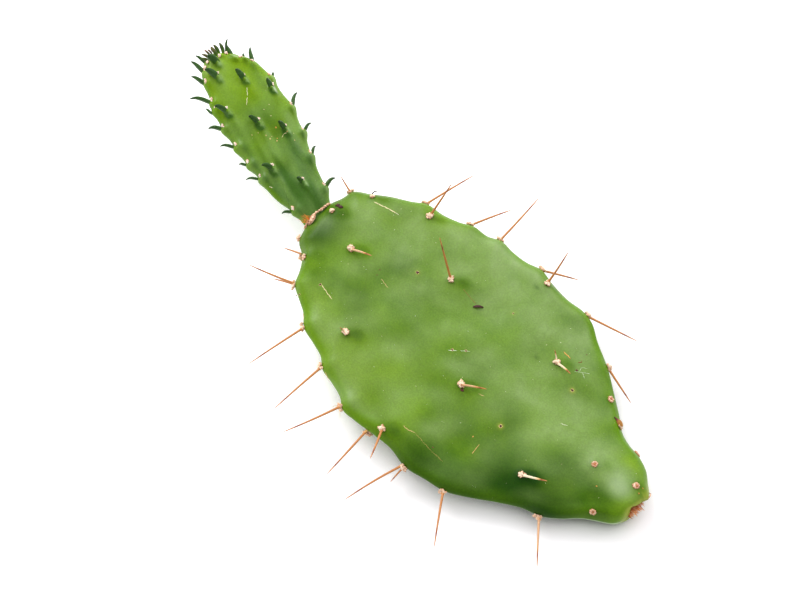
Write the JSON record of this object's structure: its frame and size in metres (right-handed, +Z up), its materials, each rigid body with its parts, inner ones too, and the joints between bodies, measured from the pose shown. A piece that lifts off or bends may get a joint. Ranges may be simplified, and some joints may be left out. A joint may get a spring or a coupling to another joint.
{
  "type": "prickly pear cactus pad",
  "caption": "Flat oval cactus pad lying on its stem end, with felted spine cushions, long amber spines, and a leafy young pad growing from its rim.",
  "frame": {"origin": "middle of the bounding box, on the surface that the pad lies on", "axes": "+Y along the plant from its stem end to the young pad's tip, +X across the pad, +Z up out of its upper face"},
  "size_m": [0.1798, 0.3198, 0.0434],
  "materials": {
    "pad_skin": "waxy green skin with a grey bloom",
    "young_skin": "glossy yellow-green young skin",
    "spine_horn": "smooth amber horn with a dark band and a pale tip",
    "leaf_green": "smooth dark green with a blue sheen",
    "areole_felt": "short beige and pink felt",
    "glochid_bristle": "fine straw-coloured bristles",
    "cork": "dry corky scar tissue"
  },
  "bodies": {
    "root": {"pad": "pad_skin", "young_pad": "young_skin", "spine_rim_left_1a": "spine_horn", "spine_rim_left_1b": "spine_horn", "spine_rim_left_2": "spine_horn", "spine_rim_left_3": "spine_horn", "spine_rim_left_4": "spine_horn", "spine_rim_left_5": "spine_horn", "spine_rim_left_6a": "spine_horn", "spine_rim_left_6b": "spine_horn", "spine_rim_left_7": "spine_horn", "spine_rim_left_8": "spine_horn", "spine_rim_right_1": "spine_horn", "spine_rim_right_2": "spine_horn", "spine_rim_right_3": "spine_horn", "spine_rim_right_4": "spine_horn", "spine_rim_right_5": "spine_horn", "spine_rim_right_6": "spine_horn", "spine_rim_tip_left_2": "spine_horn", "spine_rim_top": "spine_horn", "spine_top_centre": "spine_horn", "spine_top_left": "spine_horn", "spine_top_lower_left": "spine_horn", "spine_top_lower_middle": "spine_horn", "spine_top_lower_righta": "spine_horn", "spine_top_lower_rightb": "spine_horn", "spine_top_middle": "spine_horn", "spine_top_right": "spine_horn", "spine_top_shoulder": "spine_horn", "spine_top_tip": "spine_horn", "spine_under_left": "spine_horn", "spine_under_right": "spine_horn", "spine_under_tip_left": "spine_horn", "spine_under_tip_right": "spine_horn", "leaf_crown_1": "leaf_green", "leaf_crown_2": "leaf_green", "leaf_face_1": "leaf_green", "leaf_face_2": "leaf_green", "leaf_face_3": "leaf_green", "leaf_face_4": "leaf_green", "leaf_face_5": "leaf_green", "leaf_face_6": "leaf_green", "leaf_face_7": "leaf_green", "leaf_face_8": "leaf_green", "leaf_face_9": "leaf_green", "leaf_left_1": "leaf_green", "leaf_left_2": "leaf_green", "leaf_left_3": "leaf_green", "leaf_left_4": "leaf_green", "leaf_left_5": "leaf_green", "leaf_left_6": "leaf_green", "leaf_left_7": "leaf_green", "leaf_right_1": "leaf_green", "leaf_right_2": "leaf_green", "leaf_right_3": "leaf_green", "leaf_right_4": "leaf_green", "leaf_right_5": "leaf_green", "leaf_right_6": "leaf_green"}
  },
  "joints": []
}
